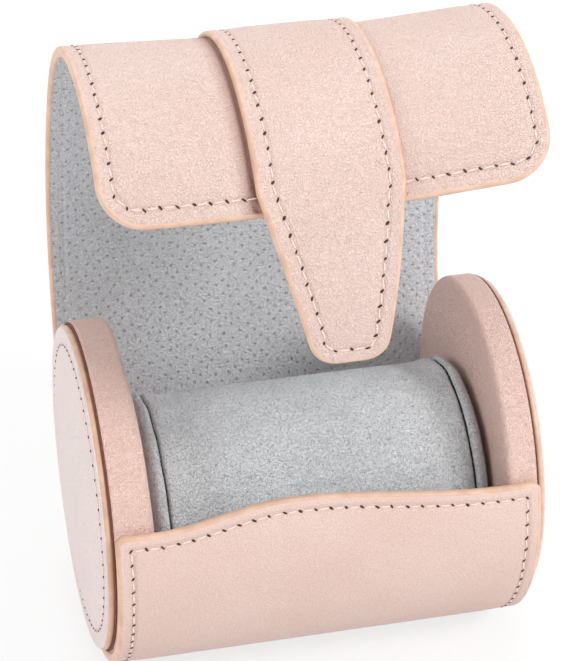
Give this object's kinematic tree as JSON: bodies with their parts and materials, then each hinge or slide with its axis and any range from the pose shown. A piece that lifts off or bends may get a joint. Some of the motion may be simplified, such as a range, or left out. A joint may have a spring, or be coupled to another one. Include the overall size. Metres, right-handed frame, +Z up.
{
  "type": "watch roll",
  "caption": "Round padded watch roll with leather end discs, a wrap-round flap with a tapered strap, and a suede watch pillow that lifts out.",
  "frame": {"origin": "middle of the flat that the roll rests on, under the roll's axis and midway between the two end covers", "axes": "+X along the roll's axis to the right, +Y to the back, where the flap rises, +Z up; the lip and the strap are at -Y"},
  "size_m": [0.1054, 0.0969, 0.1508],
  "materials": {
    "blush_leather": "satin",
    "cover_leather": "satin",
    "painted_edge": "satin",
    "grey_lining": "matte",
    "grey_suede": "matte",
    "foam": "matte",
    "board": "matte",
    "steel": "satin"
  },
  "bodies": {
    "case": {"left_disc_shell": "blush_leather", "left_disc_padding": "foam", "left_disc_board": "board", "left_cover_back": "painted_edge", "left_cover_padding": "foam", "left_cover": "cover_leather", "right_disc_shell": "blush_leather", "right_disc_padding": "foam", "right_disc_board": "board", "right_cover_back": "painted_edge", "right_cover_padding": "foam", "right_cover": "cover_leather", "wrap_leather": "blush_leather", "wrap_board": "board", "wrap_lining": "grey_lining", "catch_plate": "steel"},
    "flap_1": {"flap_leather_1": "blush_leather", "flap_lining_1": "grey_lining"},
    "flap_2": {"flap_leather_2": "blush_leather", "flap_lining_2": "grey_lining"},
    "flap_3": {"flap_leather_3": "blush_leather", "flap_lining_3": "grey_lining"},
    "flap_4": {"flap_leather_4": "blush_leather", "flap_lining_4": "grey_lining"},
    "flap_5": {"flap_leather_5": "blush_leather", "flap_lining_5": "grey_lining", "strap_leather": "blush_leather", "strap_backing": "blush_leather"},
    "strap_neck": {"strap_neck_leather": "blush_leather", "strap_neck_backing": "blush_leather"},
    "strap_tip": {"strap_tip_leather": "blush_leather", "strap_tip_backing": "blush_leather", "strap_magnet": "steel"},
    "pillow": {"pillow_core": "foam", "pillow_sleeve": "grey_suede", "pillow_left_cap": "grey_suede", "pillow_right_cap": "grey_suede"}
  },
  "joints": [
    {"name": "flap_root_bend", "type": "hinge", "parent": "case", "child": "flap_1", "pos_m": [0, 0.03779, 0.03067], "axis": [1, 0, 0], "range_deg": [0, 7]},
    {"name": "flap_fold", "type": "hinge", "parent": "flap_1", "child": "flap_2", "pos_m": [0, 0.04313, 0.0477], "axis": [1, 0, 0], "range_deg": [0, 25]},
    {"name": "flap_bend_3", "type": "hinge", "parent": "flap_2", "child": "flap_3", "pos_m": [0, 0.04657, 0.06493], "axis": [1, 0, 0], "range_deg": [0, 15]},
    {"name": "flap_bend_4", "type": "hinge", "parent": "flap_3", "child": "flap_4", "pos_m": [0, 0.04676, 0.08245], "axis": [1, 0, 0], "range_deg": [0, 22]},
    {"name": "flap_bend_5", "type": "hinge", "parent": "flap_4", "child": "flap_5", "pos_m": [0, 0.03911, 0.11257], "axis": [1, 0, 0], "range_deg": [0, 20]},
    {"name": "strap_neck_bend", "type": "hinge", "parent": "flap_5", "child": "strap_neck", "pos_m": [0, -0.04024, 0.12882], "axis": [1, 0, 0], "range_deg": [-17, 0]},
    {"name": "strap_tip_lift", "type": "hinge", "parent": "strap_neck", "child": "strap_tip", "pos_m": [0, -0.04495, 0.11401], "axis": [1, 0, 0], "range_deg": [-50, 30]},
    {"name": "pillow_seat", "type": "slide", "parent": "case", "child": "pillow", "axis": [0, 0, -1], "range_m": [-0.083, 0]}
  ],
  "couplings": [
    {"joint": "flap_root_bend", "follows": "flap_fold", "ratio": 0.28},
    {"joint": "flap_bend_3", "follows": "flap_fold", "ratio": 0.6},
    {"joint": "flap_bend_4", "follows": "flap_fold", "ratio": 0.88},
    {"joint": "flap_bend_5", "follows": "flap_fold", "ratio": 0.8},
    {"joint": "strap_neck_bend", "follows": "flap_fold", "ratio": -0.68}
  ]
}
